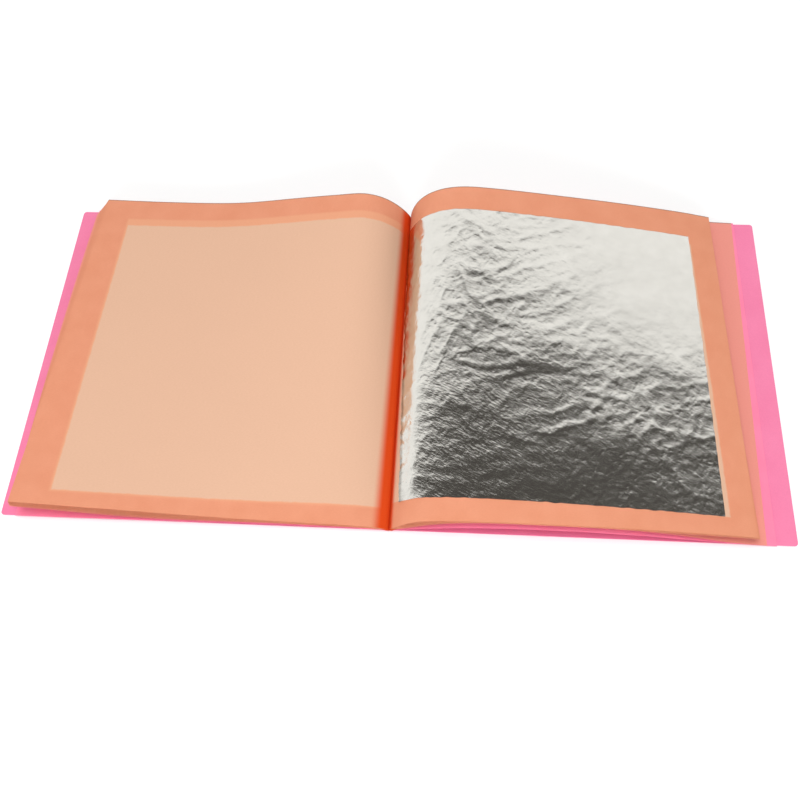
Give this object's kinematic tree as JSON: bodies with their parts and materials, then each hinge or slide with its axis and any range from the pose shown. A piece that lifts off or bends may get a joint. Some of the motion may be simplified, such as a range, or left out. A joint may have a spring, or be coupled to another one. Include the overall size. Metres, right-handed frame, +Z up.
{
  "type": "silver leaf booklet",
  "caption": "Open booklet of loose silver leaf: squares of beaten leaf between orange tissue pages, glued at the spine into a folded pink paper cover.",
  "frame": {"origin": "on the table, under the middle of the fold", "axes": "+X to the fore-edge of the back half, +Y along the fold to the head, +Z up from the table"},
  "size_m": [0.33, 0.166, 0.0237],
  "materials": {
    "cover_paper": "smooth coloured cover paper, matt, bare of print",
    "end_paper": "thinner sheet of the same paper",
    "tissue_paper": "soft translucent tissue, with a paler dusted square where the leaf lies",
    "silver_leaf": "beaten silver leaf, bright, finely wrinkled",
    "glue": "dried binding glue"
  },
  "bodies": {
    "spine_panel": {"spine": "cover_paper", "spine_glue": "glue"},
    "back_half": {"back_cover": "cover_paper"},
    "front_half": {"front_cover": "cover_paper"},
    "back_block": {"back_end_sheet": "end_paper"},
    "front_block": {"front_end_sheet": "end_paper"},
    "page_14": {"tissue_14": "tissue_paper", "leaf_13": "silver_leaf"},
    "page_15": {"tissue_15": "tissue_paper", "leaf_14": "silver_leaf"},
    "page_16": {"tissue_16": "tissue_paper", "leaf_15": "silver_leaf"},
    "page_17": {"tissue_17": "tissue_paper", "leaf_16": "silver_leaf"},
    "page_18": {"tissue_18": "tissue_paper", "leaf_17": "silver_leaf"},
    "page_19": {"tissue_19": "tissue_paper", "leaf_18": "silver_leaf"},
    "page_20": {"tissue_20": "tissue_paper", "leaf_19": "silver_leaf"},
    "page_21": {"tissue_21": "tissue_paper", "leaf_20": "silver_leaf"},
    "page_22": {"tissue_22": "tissue_paper", "leaf_21": "silver_leaf"},
    "page_23": {"tissue_23": "tissue_paper", "leaf_22": "silver_leaf"},
    "page_24": {"tissue_24": "tissue_paper", "leaf_23": "silver_leaf"},
    "page_25": {"tissue_25": "tissue_paper", "leaf_24": "silver_leaf"},
    "page_26": {"tissue_26": "tissue_paper", "leaf_25": "silver_leaf"},
    "page_13": {"tissue_13": "tissue_paper"},
    "page_12": {"tissue_12": "tissue_paper", "leaf_12": "silver_leaf"},
    "page_11": {"tissue_11": "tissue_paper", "leaf_11": "silver_leaf"},
    "page_10": {"tissue_10": "tissue_paper", "leaf_10": "silver_leaf"},
    "page_09": {"tissue_09": "tissue_paper", "leaf_09": "silver_leaf"},
    "page_08": {"tissue_08": "tissue_paper", "leaf_08": "silver_leaf"},
    "page_07": {"tissue_07": "tissue_paper", "leaf_07": "silver_leaf"},
    "page_06": {"tissue_06": "tissue_paper", "leaf_06": "silver_leaf"},
    "page_05": {"tissue_05": "tissue_paper", "leaf_05": "silver_leaf"},
    "page_04": {"tissue_04": "tissue_paper", "leaf_04": "silver_leaf"},
    "page_03": {"tissue_03": "tissue_paper", "leaf_03": "silver_leaf"},
    "page_02": {"tissue_02": "tissue_paper", "leaf_02": "silver_leaf"},
    "page_01": {"tissue_01": "tissue_paper", "leaf_01": "silver_leaf"}
  },
  "joints": [
    {"name": "front_crease", "type": "hinge", "parent": "spine_panel", "child": "front_half", "pos_m": [-0.0014, 0, 0.0003], "axis": [0, -1, 0], "range_deg": [-90, 0], "deforming": ["front_end_sheet", "tissue_01", "tissue_02", "tissue_03", "tissue_04", "tissue_05", "tissue_06", "tissue_07", "tissue_08", "tissue_09", "tissue_10", "tissue_11", "tissue_12", "tissue_13", "leaf_01", "leaf_02", "leaf_03", "leaf_04", "leaf_05", "leaf_06", "leaf_07", "leaf_08", "leaf_09", "leaf_10", "leaf_11", "leaf_12"]},
    {"name": "back_crease", "type": "hinge", "parent": "spine_panel", "child": "back_half", "pos_m": [0.0014, 0, 0.0003], "axis": [0, 1, 0], "range_deg": [-90, 0], "deforming": ["back_end_sheet", "tissue_14", "tissue_15", "tissue_16", "tissue_17", "tissue_18", "tissue_19", "tissue_20", "tissue_21", "tissue_22", "tissue_23", "tissue_24", "tissue_25", "tissue_26", "leaf_13", "leaf_14", "leaf_15", "leaf_16", "leaf_17", "leaf_18", "leaf_19", "leaf_20", "leaf_21", "leaf_22", "leaf_23", "leaf_24", "leaf_25"]},
    {"name": "front_block_draw", "type": "slide", "parent": "front_half", "child": "front_block", "axis": [-1, 0, 0], "range_m": [0, 0.00165]},
    {"name": "back_block_draw", "type": "slide", "parent": "back_half", "child": "back_block", "axis": [1, 0, 0], "range_m": [0, 0.00165]},
    {"name": "page_14_turn", "type": "hinge", "parent": "back_block", "child": "page_14", "pos_m": [0.00004, 0, 0.00055], "axis": [0, -1, 0], "range_deg": [0, 15]},
    {"name": "page_15_turn", "type": "hinge", "parent": "back_block", "child": "page_15", "pos_m": [0.00013, 0, 0.00055], "axis": [0, -1, 0], "range_deg": [0, 13.86]},
    {"name": "page_16_turn", "type": "hinge", "parent": "back_block", "child": "page_16", "pos_m": [0.00022, 0, 0.00055], "axis": [0, -1, 0], "range_deg": [0, 12.7]},
    {"name": "page_17_turn", "type": "hinge", "parent": "back_block", "child": "page_17", "pos_m": [0.0003, 0, 0.00055], "axis": [0, -1, 0], "range_deg": [0, 11.55]},
    {"name": "page_18_turn", "type": "hinge", "parent": "back_block", "child": "page_18", "pos_m": [0.00039, 0, 0.00055], "axis": [0, -1, 0], "range_deg": [0, 10.39]},
    {"name": "page_19_turn", "type": "hinge", "parent": "back_block", "child": "page_19", "pos_m": [0.00048, 0, 0.00055], "axis": [0, -1, 0], "range_deg": [0, 9.24]},
    {"name": "page_20_turn", "type": "hinge", "parent": "back_block", "child": "page_20", "pos_m": [0.00057, 0, 0.00055], "axis": [0, -1, 0], "range_deg": [0, 8.09]},
    {"name": "page_21_turn", "type": "hinge", "parent": "back_block", "child": "page_21", "pos_m": [0.00066, 0, 0.00055], "axis": [0, -1, 0], "range_deg": [0, 6.93]},
    {"name": "page_22_turn", "type": "hinge", "parent": "back_block", "child": "page_22", "pos_m": [0.00074, 0, 0.00055], "axis": [0, -1, 0], "range_deg": [0, 5.78]},
    {"name": "page_23_turn", "type": "hinge", "parent": "back_block", "child": "page_23", "pos_m": [0.00083, 0, 0.00055], "axis": [0, -1, 0], "range_deg": [0, 4.63]},
    {"name": "page_24_turn", "type": "hinge", "parent": "back_block", "child": "page_24", "pos_m": [0.00092, 0, 0.00055], "axis": [0, -1, 0], "range_deg": [0, 3.47]},
    {"name": "page_25_turn", "type": "hinge", "parent": "back_block", "child": "page_25", "pos_m": [0.00101, 0, 0.00055], "axis": [0, -1, 0], "range_deg": [0, 2.32]},
    {"name": "page_26_turn", "type": "hinge", "parent": "back_block", "child": "page_26", "pos_m": [0.0011, 0, 0.00055], "axis": [0, -1, 0], "range_deg": [0, 1.16]},
    {"name": "page_13_turn", "type": "hinge", "parent": "front_block", "child": "page_13", "pos_m": [-0.00004, 0, 0.00055], "axis": [0, 1, 0], "range_deg": [0, 10]},
    {"name": "page_12_turn", "type": "hinge", "parent": "front_block", "child": "page_12", "pos_m": [-0.00013, 0, 0.00055], "axis": [0, 1, 0], "range_deg": [0, 9.24]},
    {"name": "page_11_turn", "type": "hinge", "parent": "front_block", "child": "page_11", "pos_m": [-0.00022, 0, 0.00055], "axis": [0, 1, 0], "range_deg": [0, 8.47]},
    {"name": "page_10_turn", "type": "hinge", "parent": "front_block", "child": "page_10", "pos_m": [-0.0003, 0, 0.00055], "axis": [0, 1, 0], "range_deg": [0, 7.7]},
    {"name": "page_09_turn", "type": "hinge", "parent": "front_block", "child": "page_09", "pos_m": [-0.00039, 0, 0.00055], "axis": [0, 1, 0], "range_deg": [0, 6.93]},
    {"name": "page_08_turn", "type": "hinge", "parent": "front_block", "child": "page_08", "pos_m": [-0.00048, 0, 0.00055], "axis": [0, 1, 0], "range_deg": [0, 6.16]},
    {"name": "page_07_turn", "type": "hinge", "parent": "front_block", "child": "page_07", "pos_m": [-0.00057, 0, 0.00055], "axis": [0, 1, 0], "range_deg": [0, 5.39]},
    {"name": "page_06_turn", "type": "hinge", "parent": "front_block", "child": "page_06", "pos_m": [-0.00066, 0, 0.00055], "axis": [0, 1, 0], "range_deg": [0, 4.62]},
    {"name": "page_05_turn", "type": "hinge", "parent": "front_block", "child": "page_05", "pos_m": [-0.00074, 0, 0.00055], "axis": [0, 1, 0], "range_deg": [0, 3.86]},
    {"name": "page_04_turn", "type": "hinge", "parent": "front_block", "child": "page_04", "pos_m": [-0.00083, 0, 0.00055], "axis": [0, 1, 0], "range_deg": [0, 3.09]},
    {"name": "page_03_turn", "type": "hinge", "parent": "front_block", "child": "page_03", "pos_m": [-0.00092, 0, 0.00055], "axis": [0, 1, 0], "range_deg": [0, 2.32]},
    {"name": "page_02_turn", "type": "hinge", "parent": "front_block", "child": "page_02", "pos_m": [-0.00101, 0, 0.00055], "axis": [0, 1, 0], "range_deg": [0, 1.55]},
    {"name": "page_01_turn", "type": "hinge", "parent": "front_block", "child": "page_01", "pos_m": [-0.0011, 0, 0.00055], "axis": [0, 1, 0], "range_deg": [0, 0.78]}
  ],
  "couplings": [
    {"joint": "front_block_draw", "follows": "front_crease", "m_per_rad": -0.00105},
    {"joint": "back_block_draw", "follows": "back_crease", "m_per_rad": -0.00105},
    {"joint": "page_15_turn", "follows": "page_14_turn", "ratio": 0.9231},
    {"joint": "page_16_turn", "follows": "page_14_turn", "ratio": 0.8462},
    {"joint": "page_17_turn", "follows": "page_14_turn", "ratio": 0.7692},
    {"joint": "page_18_turn", "follows": "page_14_turn", "ratio": 0.6923},
    {"joint": "page_19_turn", "follows": "page_14_turn", "ratio": 0.6154},
    {"joint": "page_20_turn", "follows": "page_14_turn", "ratio": 0.5385},
    {"joint": "page_21_turn", "follows": "page_14_turn", "ratio": 0.4615},
    {"joint": "page_22_turn", "follows": "page_14_turn", "ratio": 0.3846},
    {"joint": "page_23_turn", "follows": "page_14_turn", "ratio": 0.3077},
    {"joint": "page_24_turn", "follows": "page_14_turn", "ratio": 0.2308},
    {"joint": "page_25_turn", "follows": "page_14_turn", "ratio": 0.1538},
    {"joint": "page_26_turn", "follows": "page_14_turn", "ratio": 0.0769},
    {"joint": "page_12_turn", "follows": "page_13_turn", "ratio": 0.9231},
    {"joint": "page_11_turn", "follows": "page_13_turn", "ratio": 0.8462},
    {"joint": "page_10_turn", "follows": "page_13_turn", "ratio": 0.7692},
    {"joint": "page_09_turn", "follows": "page_13_turn", "ratio": 0.6923},
    {"joint": "page_08_turn", "follows": "page_13_turn", "ratio": 0.6154},
    {"joint": "page_07_turn", "follows": "page_13_turn", "ratio": 0.5385},
    {"joint": "page_06_turn", "follows": "page_13_turn", "ratio": 0.4615},
    {"joint": "page_05_turn", "follows": "page_13_turn", "ratio": 0.3846},
    {"joint": "page_04_turn", "follows": "page_13_turn", "ratio": 0.3077},
    {"joint": "page_03_turn", "follows": "page_13_turn", "ratio": 0.2308},
    {"joint": "page_02_turn", "follows": "page_13_turn", "ratio": 0.1538},
    {"joint": "page_01_turn", "follows": "page_13_turn", "ratio": 0.0769}
  ]
}
